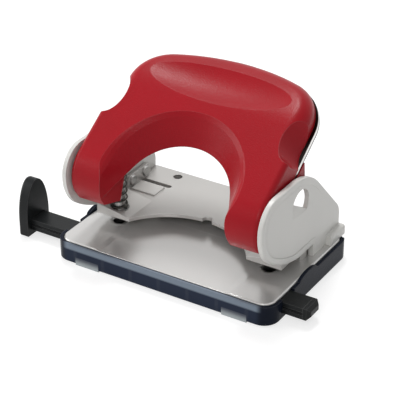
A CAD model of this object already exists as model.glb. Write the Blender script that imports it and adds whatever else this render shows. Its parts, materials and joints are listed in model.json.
import json
import math

import bpy
from bpy.props import FloatProperty, FloatVectorProperty, IntProperty, PointerProperty
from mathutils import Matrix, Vector


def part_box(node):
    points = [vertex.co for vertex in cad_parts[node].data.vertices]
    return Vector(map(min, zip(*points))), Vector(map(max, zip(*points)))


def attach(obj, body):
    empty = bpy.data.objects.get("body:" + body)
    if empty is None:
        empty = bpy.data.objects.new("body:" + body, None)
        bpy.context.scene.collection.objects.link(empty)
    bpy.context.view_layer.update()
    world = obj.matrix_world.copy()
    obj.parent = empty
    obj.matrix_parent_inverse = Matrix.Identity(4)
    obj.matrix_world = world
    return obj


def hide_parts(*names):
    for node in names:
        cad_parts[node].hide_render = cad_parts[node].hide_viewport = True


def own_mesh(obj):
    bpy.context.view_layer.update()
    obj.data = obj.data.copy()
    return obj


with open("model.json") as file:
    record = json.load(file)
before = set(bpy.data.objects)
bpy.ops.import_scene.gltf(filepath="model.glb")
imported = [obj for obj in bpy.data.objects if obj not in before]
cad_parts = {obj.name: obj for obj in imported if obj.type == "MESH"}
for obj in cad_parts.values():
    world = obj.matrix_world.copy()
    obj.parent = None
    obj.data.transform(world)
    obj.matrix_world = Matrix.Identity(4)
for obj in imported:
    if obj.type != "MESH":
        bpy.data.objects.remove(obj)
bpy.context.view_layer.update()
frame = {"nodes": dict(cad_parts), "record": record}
MM = 0.001
ACROSS, BACK, UP = (1, 0, 0), (0, 1, 0), (0, 0, 1)
WHITE = (1, 1, 1, 1)

# Lowest and highest roughness of each kind of surface
BRIGHT = (0.1, 0.18)
GLOSSY = (0.18, 0.26)
SATIN = (0.28, 0.36)
COARSE = (0.28, 0.42)
FROSTED = (0.48, 0.62)
DULL = 0.6

# Patterns and edges that the finishes share
CLOUD_SCALE = 38.0
STAIN_SCALE = 160.0
STAIN_START = 0.52
STAIN_FULL = 0.8
RELIEF = 0.1 * MM
EDGE_SAMPLES = 6
EDGE_GAIN = 6.0
EDGE_PALENESS = 0.35

bl_info = {
    "name": "Hole Punch Dressing",
    "version": (1, 0, 0),
    "blender": (4, 5, 0),
    "location": "View3D > Sidebar > Hole Punch",
    "description": "Finishes, springs and studio for a desk hole punch",
    "category": "Object",
}


def linear(code):
    """A colour written as six hexadecimal digits, in linear light."""
    parts = [int(code[i : i + 2], 16) / 255 for i in (0, 2, 4)]
    return tuple(p / 12.92 if p <= 0.04045 else ((p + 0.055) / 1.055) ** 2.4 for p in parts)


def colour_setting(label, code, meaning):
    """A colour that the panel shows, with its default as hexadecimal digits."""
    return FloatVectorProperty(
        name=label, description=meaning, subtype="COLOR", size=3, min=0, max=1, default=linear(code)
    )


def length_setting(label, millimetres, meaning):
    """A length that the panel shows, with its default in millimetres."""
    return FloatProperty(
        name=label, description=meaning, default=millimetres * MM, min=0, precision=5, unit="LENGTH"
    )


def angle_setting(label, degrees, meaning):
    """An angle that the panel shows, with its default in degrees."""
    return FloatProperty(name=label, description=meaning, subtype="ANGLE", default=math.radians(degrees))


def power_setting(label, watts, meaning):
    """A lamp's power that the panel shows."""
    return FloatProperty(name=label, description=meaning, subtype="POWER", default=watts, min=0)


def optics_setting(label, millimetres, meaning):
    """A size of the camera that the panel shows, in millimetres."""
    return FloatProperty(name=label, description=meaning, unit="CAMERA", default=millimetres, min=1)


def place_setting(label, point, meaning):
    """A point in space that the panel shows."""
    return FloatVectorProperty(name=label, description=meaning, subtype="TRANSLATION", default=point)


class PunchFinish(bpy.types.PropertyGroup):
    """Colours and grains of the punch's finishes."""

    handle_red: colour_setting("Handle red", "a2101e", "Moulded body of the handle")
    handle_deep: colour_setting("Handle deep red", "900e18", "Clouding in the handle's moulding")
    cheek_grey: colour_setting("Cheek grey", "d5d4d0", "Side cheeks")
    plate_grey: colour_setting("Plate grey", "cfcecc", "Enamel of the base plate")
    plate_under: colour_setting("Plate underside", "8c8b89", "Dull sheet under the base plate")
    deck_grey: colour_setting("Deck grey", "c4c2bf", "Enamel of the upper deck")
    steel: colour_setting("Ground steel", "a9a8a6", "Punches, pins, rings and screws")
    chrome: colour_setting("Lever plating", "dddbd8", "Bright plating of the lever")
    cut_edge: colour_setting("Lever edge", "2a2422", "Dulled upper face and lower corner of the lever")
    lever_slope: angle_setting("Lever slope", 36, "Rise of the lever at rest")
    lever_bottom: FloatProperty(
        name="Lever bottom",
        description="Height of the lever's lower face over the pivot, square to it",
        default=-0.2 * MM,
        precision=5,
        unit="LENGTH",
    )
    edge_line: length_setting("Edge line", 0.9, "Width of the dull line along the lever's corner")
    wire: colour_setting("Spring wire", "4a4844", "Oiled wire of the springs")
    tray_navy: colour_setting("Tray navy", "1b202c", "Body of the chip tray")
    tray_thin: colour_setting("Tray front", "293040", "Front wall of the tray, a little clearer")
    tray_smoke: colour_setting("Tray smoke", "7a8592", "Upper front wall, where light comes through")
    tray_wall: length_setting("Tray wall", 1.4, "Depth of the tray's front wall")
    foot_grey: colour_setting("Foot grey", "b6bdc0", "Frosted rubber of the feet, at the floor")
    rail_black: colour_setting("Rail black", "191b1c", "Guide rail, its cap and its paddle")
    grain_size: length_setting("Grain size", 0.55, "Width of the moulded grain")
    edge_width: length_setting("Edge width", 0.45, "Width over which edges catch the light")
    sheet_edge: length_setting("Sheet edge", 1.0, "Width of the rolled edge of the enamelled sheet")
    rib_pitch: length_setting("Rib pitch", 15.0, "Spacing of the ribs behind the tray's front wall")
    rib_width: length_setting("Rib width", 1.4, "Width of the line that each rib makes")


class PunchSpring(bpy.types.PropertyGroup):
    """Sizes of the punch springs."""

    wire: length_setting("Wire", 0.8, "Diameter of the spring wire")
    end_pitch: length_setting("End pitch", 1.3, "Climb of the closed turn at each end")
    open_turns: IntProperty(
        name="Open turns", description="Turns between the closed ends", default=6, min=2
    )
    turn_points: IntProperty(
        name="Points a turn", description="Points along each turn", default=20, min=8
    )
    stroke: length_setting("Stroke", 6.894, "Travel of the punch at the end of its stroke")
    play: length_setting("Play", 0.05, "Room under the collar at the end of the stroke")


class PunchStage(bpy.types.PropertyGroup):
    """Camera and light."""

    azimuth: angle_setting("Azimuth", 31.65, "Camera's turn to the right")
    elevation: angle_setting("Elevation", 29.5, "Camera's height angle")
    distance: length_setting("Distance", 677.13, "Camera's distance from its aim")
    aim: place_setting("Aim", (0.00155, -0.00435, 0.032), "Point that the camera looks at")
    lens: optics_setting("Lens", 135.85, "Focal length")
    film: optics_setting("Film", 36.0, "Width of the film")
    sky: FloatProperty(name="Sky", description="Strength of the even light", default=0.33, min=0)
    lamp_aim: place_setting("Lamp aim", (0, 0, 0.03), "Point that the lamps face")
    key: power_setting("Key", 7.4, "Power of the large lamp")
    key_at: place_setting("Key place", (-0.25, 0.34, 1.08), "Where the large lamp hangs")
    key_width: length_setting("Key width", 320, "Side of the large lamp")
    fill: power_setting("Fill", 7.2, "Power of the side lamp")
    fill_at: place_setting("Fill place", (-1.0, -0.45, 0.42), "Where the side lamp stands")
    fill_width: length_setting("Fill width", 900, "Side of the side lamp")
    rim: power_setting("Rim", 3.5, "Power of the front lamp")
    rim_at: place_setting("Rim place", (0.4, -0.95, 0.9), "Where the front lamp stands")
    rim_width: length_setting("Rim width", 400, "Side of the front lamp")


def place(tree, kind, **values):
    """Add a node and set its inputs by name, or its own settings where it has no such input."""
    node = tree.nodes.new(kind)
    for name, value in values.items():
        label = name.replace("_", " ").title()
        if label in node.inputs:
            node.inputs[label].default_value = value
        else:
            setattr(node, name, value)
    return node


def new_group(name, inputs):
    """An empty shader group that puts out a finish, and its two end nodes."""
    tree = bpy.data.node_groups.new(name, "ShaderNodeTree")
    for label, kind, value in inputs:
        socket = tree.interface.new_socket(label, in_out="INPUT", socket_type=kind)
        socket.default_value = value
    outputs = {"Colour": "NodeSocketColor", "Roughness": "NodeSocketFloat", "Normal": "NodeSocketVector"}
    for label, kind in outputs.items():
        tree.interface.new_socket(label, in_out="OUTPUT", socket_type=kind)
    return tree, tree.nodes.new("NodeGroupInput"), tree.nodes.new("NodeGroupOutput")


def join(tree, *pairs):
    """Link sockets, given as pairs of output and input."""
    for source, target in pairs:
        tree.links.new(source, target)


def feed(tree, values, inputs):
    """Fill inputs in order, each with a link from a socket or with a plain value."""
    for value, socket in zip(values, inputs):
        if isinstance(value, bpy.types.NodeSocket):
            tree.links.new(value, socket)
        else:
            socket.default_value = value


def math_node(tree, operation, first, second=0.0):
    """A Math node on two sockets or numbers, as its output."""
    node = place(tree, "ShaderNodeMath", operation=operation)
    feed(tree, (first, second), node.inputs)
    return node.outputs[0]


def mix_colour(tree, factor, first, second):
    """A colour Mix node on a mask and two sockets or plain colours, as its output."""
    node = place(tree, "ShaderNodeMix", data_type="RGBA")
    feed(tree, (factor, first, second), [s for s in node.inputs if s.enabled])
    return next(s for s in node.outputs if s.enabled)


def spread(tree, value, low, high):
    """Map a mask from 0 and 1 to two sockets' values."""
    node = place(tree, "ShaderNodeMapRange")
    join(tree, (value, node.inputs["Value"]), (low, node.inputs["To Min"]), (high, node.inputs["To Max"]))
    return node.outputs["Result"]


def fade(tree, value, start, end, curve="SMOOTHSTEP"):
    """A mask that goes from 0 at one value to 1 at another."""
    node = place(tree, "ShaderNodeMapRange", interpolation_type=curve, from_min=start, from_max=end)
    join(tree, (value, node.inputs["Value"]))
    return node.outputs["Result"]


def along(tree, output, direction):
    """How far a point (Object) or a face's normal (Normal) reaches along a fixed direction."""
    where = tree.nodes.new("ShaderNodeTexCoord")
    node = place(tree, "ShaderNodeVectorMath", operation="DOT_PRODUCT")
    feed(tree, (where.outputs[output], direction), node.inputs)
    return node.outputs["Value"]


def moulded_skin_group():
    """Moulded or enamelled surface: clouding, fine grain, soft edges and a paler edge line."""
    tree, ends, out = new_group(
        "Moulded skin",
        (
            ("Colour", "NodeSocketColor", (0.5, 0.5, 0.5, 1)),
            ("Cloud", "NodeSocketColor", (0.4, 0.4, 0.4, 1)),
            ("Edge Colour", "NodeSocketColor", (0.8, 0.8, 0.8, 1)),
            ("Edge Amount", "NodeSocketFloat", 0.2),
            ("Edge Width", "NodeSocketFloat", 0.0004),
            ("Grain Scale", "NodeSocketFloat", 2000.0),
            ("Grain Depth", "NodeSocketFloat", 0.1),
            ("Roughness Low", "NodeSocketFloat", 0.3),
            ("Roughness High", "NodeSocketFloat", 0.45),
        ),
    )
    inputs = ends.outputs
    place_on = tree.nodes.new("ShaderNodeTexCoord").outputs["Object"]
    cloud = place(tree, "ShaderNodeTexNoise", scale=CLOUD_SCALE, detail=3.0)
    grain = place(tree, "ShaderNodeTexNoise", detail=2.0, roughness=0.6)
    pits = place(tree, "ShaderNodeTexVoronoi")
    join(
        tree,
        (place_on, cloud.inputs["Vector"]),
        (place_on, grain.inputs["Vector"]),
        (place_on, pits.inputs["Vector"]),
        (inputs["Grain Scale"], grain.inputs["Scale"]),
        (inputs["Grain Scale"], pits.inputs["Scale"]),
    )
    # Soft edges: the rounded normal, and how far it leaves the true one
    rounded = place(tree, "ShaderNodeBevel", samples=EDGE_SAMPLES)
    true_way = tree.nodes.new("ShaderNodeNewGeometry")
    likeness = place(tree, "ShaderNodeVectorMath", operation="DOT_PRODUCT")
    join(
        tree,
        (inputs["Edge Width"], rounded.inputs["Radius"]),
        (rounded.outputs["Normal"], likeness.inputs[0]),
        (true_way.outputs["Normal"], likeness.inputs[1]),
    )
    turned = math_node(tree, "SUBTRACT", 1.0, likeness.outputs["Value"])
    edge = math_node(tree, "MINIMUM", math_node(tree, "MULTIPLY", turned, EDGE_GAIN), 1.0)
    edge = math_node(tree, "MULTIPLY", edge, inputs["Edge Amount"])
    body = mix_colour(tree, cloud.outputs["Fac"], inputs["Colour"], inputs["Cloud"])
    tinted = mix_colour(tree, edge, body, inputs["Edge Colour"])
    rough = spread(tree, cloud.outputs["Fac"], inputs["Roughness Low"], inputs["Roughness High"])
    height = math_node(tree, "ADD", grain.outputs["Fac"], pits.outputs["Distance"])
    bump = place(tree, "ShaderNodeBump", distance=RELIEF)
    join(
        tree,
        (height, bump.inputs["Height"]),
        (inputs["Grain Depth"], bump.inputs["Strength"]),
        (rounded.outputs["Normal"], bump.inputs["Normal"]),
        (tinted, out.inputs["Colour"]),
        (rough, out.inputs["Roughness"]),
        (bump.outputs["Normal"], out.inputs["Normal"]),
    )
    return tree


def ground_metal_group():
    """Drawn or ground metal: fine lines along one way, small stains and soft edges."""
    tree, ends, out = new_group(
        "Ground metal",
        (
            ("Colour", "NodeSocketColor", (0.6, 0.6, 0.6, 1)),
            ("Stain", "NodeSocketColor", (0.3, 0.28, 0.26, 1)),
            ("Stretch", "NodeSocketVector", (60.0, 2200.0, 2200.0)),
            ("Edge Width", "NodeSocketFloat", 0.0003),
            ("Line Depth", "NodeSocketFloat", 0.1),
            ("Roughness Low", "NodeSocketFloat", 0.15),
            ("Roughness High", "NodeSocketFloat", 0.35),
        ),
    )
    inputs = ends.outputs
    place_on = tree.nodes.new("ShaderNodeTexCoord").outputs["Object"]
    stretched = place(tree, "ShaderNodeVectorMath", operation="MULTIPLY")
    lines = place(tree, "ShaderNodeTexNoise", scale=1.0, detail=3.0)
    stains = place(tree, "ShaderNodeTexNoise", scale=STAIN_SCALE, detail=4.0)
    rounded = place(tree, "ShaderNodeBevel", samples=EDGE_SAMPLES)
    bump = place(tree, "ShaderNodeBump", distance=RELIEF)
    stained = fade(tree, stains.outputs["Fac"], STAIN_START, STAIN_FULL, curve="LINEAR")
    colour = mix_colour(tree, stained, inputs["Colour"], inputs["Stain"])
    rough = spread(tree, lines.outputs["Fac"], inputs["Roughness Low"], inputs["Roughness High"])
    join(
        tree,
        (place_on, stretched.inputs[0]),
        (inputs["Stretch"], stretched.inputs[1]),
        (stretched.outputs["Vector"], lines.inputs["Vector"]),
        (place_on, stains.inputs["Vector"]),
        (inputs["Edge Width"], rounded.inputs["Radius"]),
        (rounded.outputs["Normal"], bump.inputs["Normal"]),
        (lines.outputs["Fac"], bump.inputs["Height"]),
        (inputs["Line Depth"], bump.inputs["Strength"]),
        (colour, out.inputs["Colour"]),
        (rough, out.inputs["Roughness"]),
        (bump.outputs["Normal"], out.inputs["Normal"]),
    )
    return tree


def group_named(name, make):
    """A shader group by name, made the first time it is asked for."""
    return bpy.data.node_groups.get(name) or make()


def opaque(colour):
    """A colour with full alpha."""
    return (*colour, 1.0)


def paler(colour, amount):
    """A colour moved towards white."""
    return tuple(c + (1 - c) * amount for c in colour)


def darker(colour, amount):
    """A colour moved towards black."""
    return tuple(c * (1 - amount) for c in colour)


def start_material(name, group, **values):
    """A material with a skin group wired to its shader; gives material, group node and shader."""
    material = bpy.data.materials.new(name)
    material.use_nodes = True
    tree = material.node_tree
    shader = tree.nodes["Principled BSDF"]
    skin = tree.nodes.new("ShaderNodeGroup")
    skin.node_tree = group
    for label, value in values.items():
        skin.inputs[label.replace("_", " ").title()].default_value = value
    join(
        tree,
        (skin.outputs["Colour"], shader.inputs["Base Color"]),
        (skin.outputs["Roughness"], shader.inputs["Roughness"]),
        (skin.outputs["Normal"], shader.inputs["Normal"]),
    )
    return material, skin, shader


def moulded_material(
    name, colour, cloud, grain_depth, rough, edge_amount=0.25, edge_width=None, specular=0.5, metallic=0.0
):
    """A moulded or enamelled finish."""
    finish = bpy.context.scene.punch_finish
    material, skin, shader = start_material(
        name,
        group_named("Moulded skin", moulded_skin_group),
        colour=opaque(colour),
        cloud=opaque(cloud),
        edge_colour=opaque(paler(colour, EDGE_PALENESS)),
        edge_amount=edge_amount,
        edge_width=edge_width or finish.edge_width,
        grain_scale=1 / finish.grain_size,
        grain_depth=grain_depth,
        roughness_low=rough[0],
        roughness_high=rough[1],
    )
    shader.inputs["Specular IOR Level"].default_value = specular
    shader.inputs["Metallic"].default_value = metallic
    return material, skin, shader


def metal_material(name, colour, stain, stretch, line_depth, rough):
    """A bare or plated metal finish."""
    finish = bpy.context.scene.punch_finish
    material, skin, shader = start_material(
        name,
        group_named("Ground metal", ground_metal_group),
        colour=opaque(colour),
        stain=opaque(stain),
        stretch=stretch,
        edge_width=finish.edge_width / 2,
        line_depth=line_depth,
        roughness_low=rough[0],
        roughness_high=rough[1],
    )
    shader.inputs["Metallic"].default_value = 1.0
    return material, skin, shader


def dress(material, *names):
    """Give CAD nodes a material."""
    for name in names:
        slots = frame["nodes"][name].data.materials
        slots.clear()
        slots.append(material)


def both(name):
    """The left and right node of a pair."""
    return "left_" + name, "right_" + name


class PUNCH_OT_handle(bpy.types.Operator):
    """Red grained moulding of the handle"""

    bl_idname = "punch.handle"
    bl_label = "Handle"

    def execute(self, context):
        finish = context.scene.punch_finish
        material, _, _ = moulded_material(
            "Red moulding",
            finish.handle_red,
            finish.handle_deep,
            grain_depth=0.4,
            rough=SATIN,
            edge_amount=0.3,
            specular=0.16,
        )
        dress(material, "handle_shell")
        return {"FINISHED"}


class PUNCH_OT_cheeks(bpy.types.Operator):
    """Light grey moulding of the cheeks"""

    bl_idname = "punch.cheeks"
    bl_label = "Cheeks"

    def execute(self, context):
        finish = context.scene.punch_finish
        material, _, _ = moulded_material(
            "Grey moulding",
            finish.cheek_grey,
            darker(finish.cheek_grey, 0.06),
            grain_depth=0.004,
            rough=SATIN,
        )
        dress(material, *both("cheek"))
        return {"FINISHED"}


def plate_material():
    """Bright enamel, with an underside that lacks the polish of the upper face."""
    finish = bpy.context.scene.punch_finish
    material, skin, shader = moulded_material(
        "Plate enamel",
        finish.plate_grey,
        darker(finish.plate_grey, 0.05),
        grain_depth=0.004,
        rough=GLOSSY,
        edge_amount=0.7,
        edge_width=finish.sheet_edge,
        specular=0.45,
        metallic=0.55,
    )
    tree = material.node_tree
    slanted, level = -0.5, -0.9
    under = fade(tree, along(tree, "Normal", UP), slanted, level)
    dull = math_node(tree, "MULTIPLY", under, DULL)
    rough = math_node(tree, "MAXIMUM", skin.outputs["Roughness"], dull)
    colour = mix_colour(tree, under, skin.outputs["Colour"], opaque(finish.plate_under))
    join(tree, (rough, shader.inputs["Roughness"]), (colour, shader.inputs["Base Color"]))
    return material


def deck_material():
    """Enamel of the deck, a little darker and duller than the plate's."""
    finish = bpy.context.scene.punch_finish
    material, _, _ = moulded_material(
        "Deck enamel",
        finish.deck_grey,
        darker(finish.deck_grey, 0.08),
        grain_depth=0.006,
        rough=SATIN,
        edge_amount=0.6,
        edge_width=finish.sheet_edge / 2,
        specular=0.3,
        metallic=0.35,
    )
    return material


class PUNCH_OT_sheet_metal(bpy.types.Operator):
    """Smooth enamel of the plate, the deck and the paper stops"""

    bl_idname = "punch.sheet_metal"
    bl_label = "Plate and deck"

    def execute(self, context):
        dress(plate_material(), "base_plate")
        dress(deck_material(), "upper_deck", *both("paper_stop"))
        return {"FINISHED"}


def cut_edge_mask(tree):
    """The lever's dulled surfaces, as a mask: its upper face and the lower corner of its cut edge."""
    finish = bpy.context.scene.punch_finish
    hinge = next(j for j in frame["record"]["behaviour"]["joints"] if j["name"] == "handle_hinge")
    square = Vector((0, -math.sin(finish.lever_slope), math.cos(finish.lever_slope)))
    bottom = square.dot(Vector(hinge["pos_m"])) + finish.lever_bottom
    height, facing = [along(tree, output, square) for output in ("Object", "Normal")]
    solid_line = 0.6 * finish.edge_line
    corner = fade(tree, height, bottom + finish.edge_line, bottom + solid_line)
    steep, flat, flush = 0.4, 0.8, 0.95
    side = fade(tree, math_node(tree, "ABSOLUTE", facing), flat, steep)
    upper = fade(tree, facing, flat, flush)
    return math_node(tree, "MAXIMUM", upper, math_node(tree, "MULTIPLY", corner, side))


def lever_material():
    """Bright plating with dulled cut edges."""
    finish = bpy.context.scene.punch_finish
    material, skin, shader = metal_material(
        "Lever plating",
        finish.chrome,
        darker(finish.chrome, 0.3),
        stretch=(2600.0, 90.0, 90.0),
        line_depth=0.02,
        rough=BRIGHT,
    )
    tree = material.node_tree
    colour = mix_colour(tree, cut_edge_mask(tree), skin.outputs["Colour"], opaque(finish.cut_edge))
    join(tree, (colour, shader.inputs["Base Color"]))
    return material


class PUNCH_OT_steelwork(bpy.types.Operator):
    """Plated lever and the ground steel of punches, pins and fasteners"""

    bl_idname = "punch.steelwork"
    bl_label = "Steelwork"

    def execute(self, context):
        finish = context.scene.punch_finish
        dress(lever_material(), "lever_plate")
        steel, _, _ = metal_material(
            "Ground steel",
            finish.steel,
            darker(finish.steel, 0.5),
            stretch=(900.0, 900.0, 60.0),
            line_depth=0.2,
            rough=COARSE,
        )
        pairs = ("punch_pin", "die_ring", "guide_bush", "pivot_pin", "spring_collar")
        dress(steel, *[name for pair in pairs for name in both(pair)])
        dress(steel, "lever_screws", "frame_rivets", "cheek_screws", "tray_hinge_pins")
        return {"FINISHED"}


def coil_line(name, centre, low, high, radius):
    """The centre line of a spring as one smooth curve, with a closed turn at each end."""
    spring = bpy.context.scene.punch_spring
    turns = spring.open_turns + 2
    pitch = (high - low - 2 * spring.end_pitch) / spring.open_turns
    curve = bpy.data.curves.new(name, "CURVE")
    curve.dimensions = "3D"
    curve.bevel_depth = spring.wire / 2
    curve.bevel_resolution = 4
    curve.use_fill_caps = True
    line = curve.splines.new("NURBS")
    line.points.add(turns * spring.turn_points)
    for i, point in enumerate(line.points):
        turn = i / spring.turn_points
        climb = min(turn, 1) * spring.end_pitch
        climb += min(max(turn - 1, 0), spring.open_turns) * pitch
        climb += max(turn - 1 - spring.open_turns, 0) * spring.end_pitch
        angle = 2 * math.pi * turn
        point.co = (
            centre.x + radius * math.cos(angle),
            centre.y + radius * math.sin(angle),
            low + climb,
            1.0,
        )
    line.order_u = 3
    line.use_endpoint_u = True
    line.resolution_u = 2
    return curve


def coil_mesh(name, curve):
    """A curve's wire as a smooth mesh."""
    context = bpy.context
    holder = bpy.data.objects.new(name, curve)
    context.scene.collection.objects.link(holder)
    context.view_layer.update()
    evaluated = holder.evaluated_get(context.evaluated_depsgraph_get())
    mesh = bpy.data.meshes.new_from_object(evaluated)
    bpy.data.objects.remove(holder)
    for polygon in mesh.polygons:
        polygon.use_smooth = True
    return mesh


class PUNCH_OT_springs(bpy.types.Operator):
    """Wound springs of the punches"""

    bl_idname = "punch.springs"
    bl_label = "Springs"

    def execute(self, context):
        finish = context.scene.punch_finish
        spring = context.scene.punch_spring
        wire, _, _ = metal_material(
            "Spring wire",
            finish.wire,
            darker(finish.wire, 0.4),
            stretch=(300.0, 300.0, 1800.0),
            line_depth=0.15,
            rough=COARSE,
        )
        for side in ("left", "right"):
            node = side + "_punch_spring"
            low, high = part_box(node)
            centre = (low + high) / 2
            half_wire = spring.wire / 2
            radius = (high.x - low.x - spring.wire) / 2
            curve = coil_line(node + "_line", centre, low.z + half_wire, high.z - half_wire, radius)
            mesh = coil_mesh(node + "_line", curve)
            mesh.materials.clear()
            mesh.materials.append(wire)
            coil = bpy.data.objects.new(side + "_coil", mesh)
            context.scene.collection.objects.link(coil)
            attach(coil, "base")
            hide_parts(node)
            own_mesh(coil)
        return {"FINISHED"}


def tray_material():
    """Dark moulding whose front wall is clearer, with ribs behind it and a smoky band at its top."""
    finish = bpy.context.scene.punch_finish
    material, skin, shader = moulded_material(
        "Navy moulding",
        finish.tray_navy,
        darker(finish.tray_navy, 0.25),
        grain_depth=0.02,
        rough=GLOSSY,
        edge_amount=0.15,
        specular=0.05,
    )
    tree = material.node_tree
    across, back, up = [along(tree, "Object", axis) for axis in (ACROSS, BACK, UP)]
    low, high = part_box("chip_tray")
    # Front wall short of its round corners, as shares of the tray's half length
    wall_end, wall_full = 0.92, 0.86
    front = fade(tree, back, low.y + finish.tray_wall, low.y + finish.tray_wall / 2)
    ends = fade(tree, math_node(tree, "ABSOLUTE", across), wall_end * high.x, wall_full * high.x)
    front = math_node(tree, "MULTIPLY", front, ends)
    # Smoky band, as shares of the wall's height
    band_start, band_full = 0.52, 0.62
    height = high.z - low.z
    band = fade(tree, up, low.z + band_start * height, low.z + band_full * height)
    smoke = math_node(tree, "MULTIPLY", band, front)
    # Ribs as soft lines below the band
    rib_strength, rib_paleness = 0.3, 0.035
    from_rib = math_node(tree, "PINGPONG", across, finish.rib_pitch / 2)
    rib = fade(tree, from_rib, finish.rib_width, finish.rib_width / 4)
    below = math_node(tree, "SUBTRACT", front, smoke)
    rib = math_node(tree, "MULTIPLY", math_node(tree, "MULTIPLY", rib, below), rib_strength)
    thin = mix_colour(tree, front, skin.outputs["Colour"], opaque(finish.tray_thin))
    smoky = mix_colour(tree, smoke, thin, opaque(finish.tray_smoke))
    lined = mix_colour(tree, rib, smoky, opaque(paler(finish.tray_thin, rib_paleness)))
    join(tree, (lined, shader.inputs["Base Color"]))
    return material


def foot_material():
    """Frosted rubber that thins out towards its upper edge, where the navy shows through."""
    finish = bpy.context.scene.punch_finish
    material, skin, shader = moulded_material(
        "Frosted rubber",
        finish.foot_grey,
        darker(finish.foot_grey, 0.15),
        grain_depth=0.3,
        rough=FROSTED,
    )
    tree = material.node_tree
    low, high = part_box("rubber_feet")
    thin = fade(tree, along(tree, "Object", UP), low.z, high.z)
    frosted = mix_colour(tree, thin, skin.outputs["Colour"], opaque(finish.tray_thin))
    join(tree, (frosted, shader.inputs["Base Color"]))
    return material


class PUNCH_OT_tray(bpy.types.Operator):
    """Dark chip tray with a smoky front wall, and its frosted feet"""

    bl_idname = "punch.tray"
    bl_label = "Chip tray"

    def execute(self, context):
        dress(tray_material(), "chip_tray")
        dress(foot_material(), "rubber_feet")
        return {"FINISHED"}


class PUNCH_OT_rail(bpy.types.Operator):
    """Black moulding of the rail, its cap and its paddle"""

    bl_idname = "punch.rail"
    bl_label = "Guide rail"

    def execute(self, context):
        finish = context.scene.punch_finish
        material, _, _ = moulded_material(
            "Black moulding",
            finish.rail_black,
            darker(finish.rail_black, 0.3),
            grain_depth=0.2,
            rough=COARSE,
            edge_amount=0.18,
            specular=0.15,
        )
        dress(material, "guide_rail", "rail_end_cap", "stop_paddle")
        return {"FINISHED"}


def seen_directly(tree):
    """How far a ray comes from the camera, a reflection or glass, as a socket."""
    path = tree.nodes.new("ShaderNodeLightPath")
    seen = math_node(tree, "MAXIMUM", path.outputs["Is Camera Ray"], path.outputs["Is Glossy Ray"])
    return math_node(tree, "MAXIMUM", seen, path.outputs["Is Transmission Ray"])


def floor_material():
    """Pale floor that is nearly white where it is seen, apart from the shadow."""
    lit_grey, seen_grey, glow_strength = 0.8, 0.42, 0.7
    material = bpy.data.materials.new("Pale floor")
    material.use_nodes = True
    tree = material.node_tree
    tree.nodes.clear()
    plain = place(tree, "ShaderNodeBsdfDiffuse", color=opaque([lit_grey] * 3))
    shaded = place(tree, "ShaderNodeBsdfDiffuse", color=opaque([seen_grey] * 3))
    glow = place(tree, "ShaderNodeEmission", strength=glow_strength)
    both_ways = tree.nodes.new("ShaderNodeAddShader")
    mix = tree.nodes.new("ShaderNodeMixShader")
    out = tree.nodes.new("ShaderNodeOutputMaterial")
    join(
        tree,
        (shaded.outputs[0], both_ways.inputs[0]),
        (glow.outputs[0], both_ways.inputs[1]),
        (seen_directly(tree), mix.inputs[0]),
        (plain.outputs[0], mix.inputs[1]),
        (both_ways.outputs[0], mix.inputs[2]),
        (mix.outputs[0], out.inputs["Surface"]),
    )
    return material


def make_floor():
    """A wide pale floor that keeps a soft shadow."""
    reach = 6.0
    drop = -0.1 * MM
    signs = ((-1, -1), (1, -1), (1, 1), (-1, 1))
    corners = [(x * reach, y * reach, drop) for x, y in signs]
    mesh = bpy.data.meshes.new("floor")
    mesh.from_pydata(corners, [], [(0, 1, 2, 3)])
    mesh.materials.append(floor_material())
    floor = bpy.data.objects.new("floor", mesh)
    bpy.context.scene.collection.objects.link(floor)


def make_sky(strength):
    """An even pale sky: white where it is seen, softer where it lights."""
    world = bpy.data.worlds.new("Pale sky")
    bpy.context.scene.world = world
    world.use_nodes = True
    tree = world.node_tree
    tree.nodes.clear()
    light = place(tree, "ShaderNodeBackground", color=WHITE, strength=strength)
    seen = place(tree, "ShaderNodeBackground", color=WHITE, strength=1.0)
    mix = tree.nodes.new("ShaderNodeMixShader")
    out = tree.nodes.new("ShaderNodeOutputWorld")
    join(
        tree,
        (seen_directly(tree), mix.inputs[0]),
        (light.outputs[0], mix.inputs[1]),
        (seen.outputs[0], mix.inputs[2]),
        (mix.outputs[0], out.inputs["Surface"]),
    )


def make_lamp(name, place_at, aim, width, power):
    """A square soft lamp that faces a point."""
    lamp = bpy.data.lights.new(name, "AREA")
    lamp.energy = power
    lamp.size = width
    holder = bpy.data.objects.new(name, lamp)
    bpy.context.scene.collection.objects.link(holder)
    holder.location = place_at
    way = Vector(aim) - holder.location
    holder.rotation_euler = way.to_track_quat("-Z", "Y").to_euler()


def make_camera(stage):
    """The camera, turned round its aim and moved back from it."""
    camera = bpy.data.cameras.new("camera")
    camera.lens = stage.lens
    camera.sensor_width = stage.film
    holder = bpy.data.objects.new("camera", camera)
    bpy.context.scene.collection.objects.link(holder)
    tilt = Matrix.Rotation(math.pi / 2 - stage.elevation, 4, "X")
    turn = Matrix.Rotation(stage.azimuth, 4, "Z") @ tilt
    back = turn @ Vector((0, 0, stage.distance))
    holder.matrix_world = Matrix.Translation(Vector(stage.aim) + back) @ turn
    bpy.context.scene.camera = holder


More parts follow.
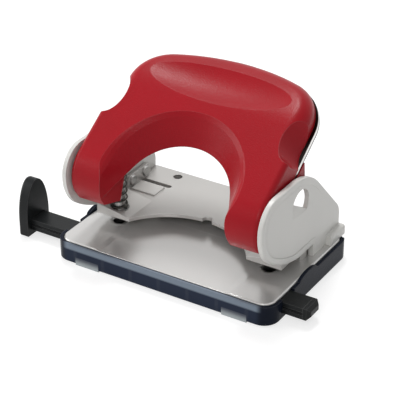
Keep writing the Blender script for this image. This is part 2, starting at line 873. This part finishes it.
class PUNCH_OT_stage(bpy.types.Operator):
    """Floor, light and camera"""

    bl_idname = "punch.stage"
    bl_label = "Stage"

    def execute(self, context):
        stage = context.scene.punch_stage
        make_floor()
        make_sky(stage.sky)
        make_lamp("key_lamp", stage.key_at, stage.lamp_aim, stage.key_width, stage.key)
        make_lamp("fill_lamp", stage.fill_at, stage.lamp_aim, stage.fill_width, stage.fill)
        make_lamp("rim_lamp", stage.rim_at, stage.lamp_aim, stage.rim_width, stage.rim)
        make_camera(stage)
        context.scene.view_settings.view_transform = "Standard"
        return {"FINISHED"}


GROUPS = {"punch_finish": PunchFinish, "punch_spring": PunchSpring, "punch_stage": PunchStage}
STEPS = (
    PUNCH_OT_handle,
    PUNCH_OT_cheeks,
    PUNCH_OT_sheet_metal,
    PUNCH_OT_steelwork,
    PUNCH_OT_springs,
    PUNCH_OT_tray,
    PUNCH_OT_rail,
    PUNCH_OT_stage,
)


class PUNCH_PT_panel(bpy.types.Panel):
    """Steps and settings of the hole punch"""

    bl_label = "Hole Punch"
    bl_idname = "PUNCH_PT_panel"
    bl_space_type = "VIEW_3D"
    bl_region_type = "UI"
    bl_category = "Hole Punch"

    def draw(self, context):
        for step in STEPS:
            self.layout.operator(step.bl_idname)
        for name, kind in GROUPS.items():
            box = self.layout.box()
            for setting in kind.__annotations__:
                box.prop(getattr(context.scene, name), setting)


CLASSES = (*GROUPS.values(), *STEPS, PUNCH_PT_panel)


def register():
    for kind in CLASSES:
        bpy.utils.register_class(kind)
    for name, group in GROUPS.items():
        setattr(bpy.types.Scene, name, PointerProperty(type=group))


def unregister():
    for name in GROUPS:
        delattr(bpy.types.Scene, name)
    for kind in reversed(CLASSES):
        bpy.utils.unregister_class(kind)


def main():
    register()
    bpy.ops.punch.handle()
    bpy.ops.punch.cheeks()
    bpy.ops.punch.sheet_metal()
    bpy.ops.punch.steelwork()
    bpy.ops.punch.springs()
    bpy.ops.punch.tray()
    bpy.ops.punch.rail()
    bpy.ops.punch.stage()


if __name__ == "__main__":
    main()
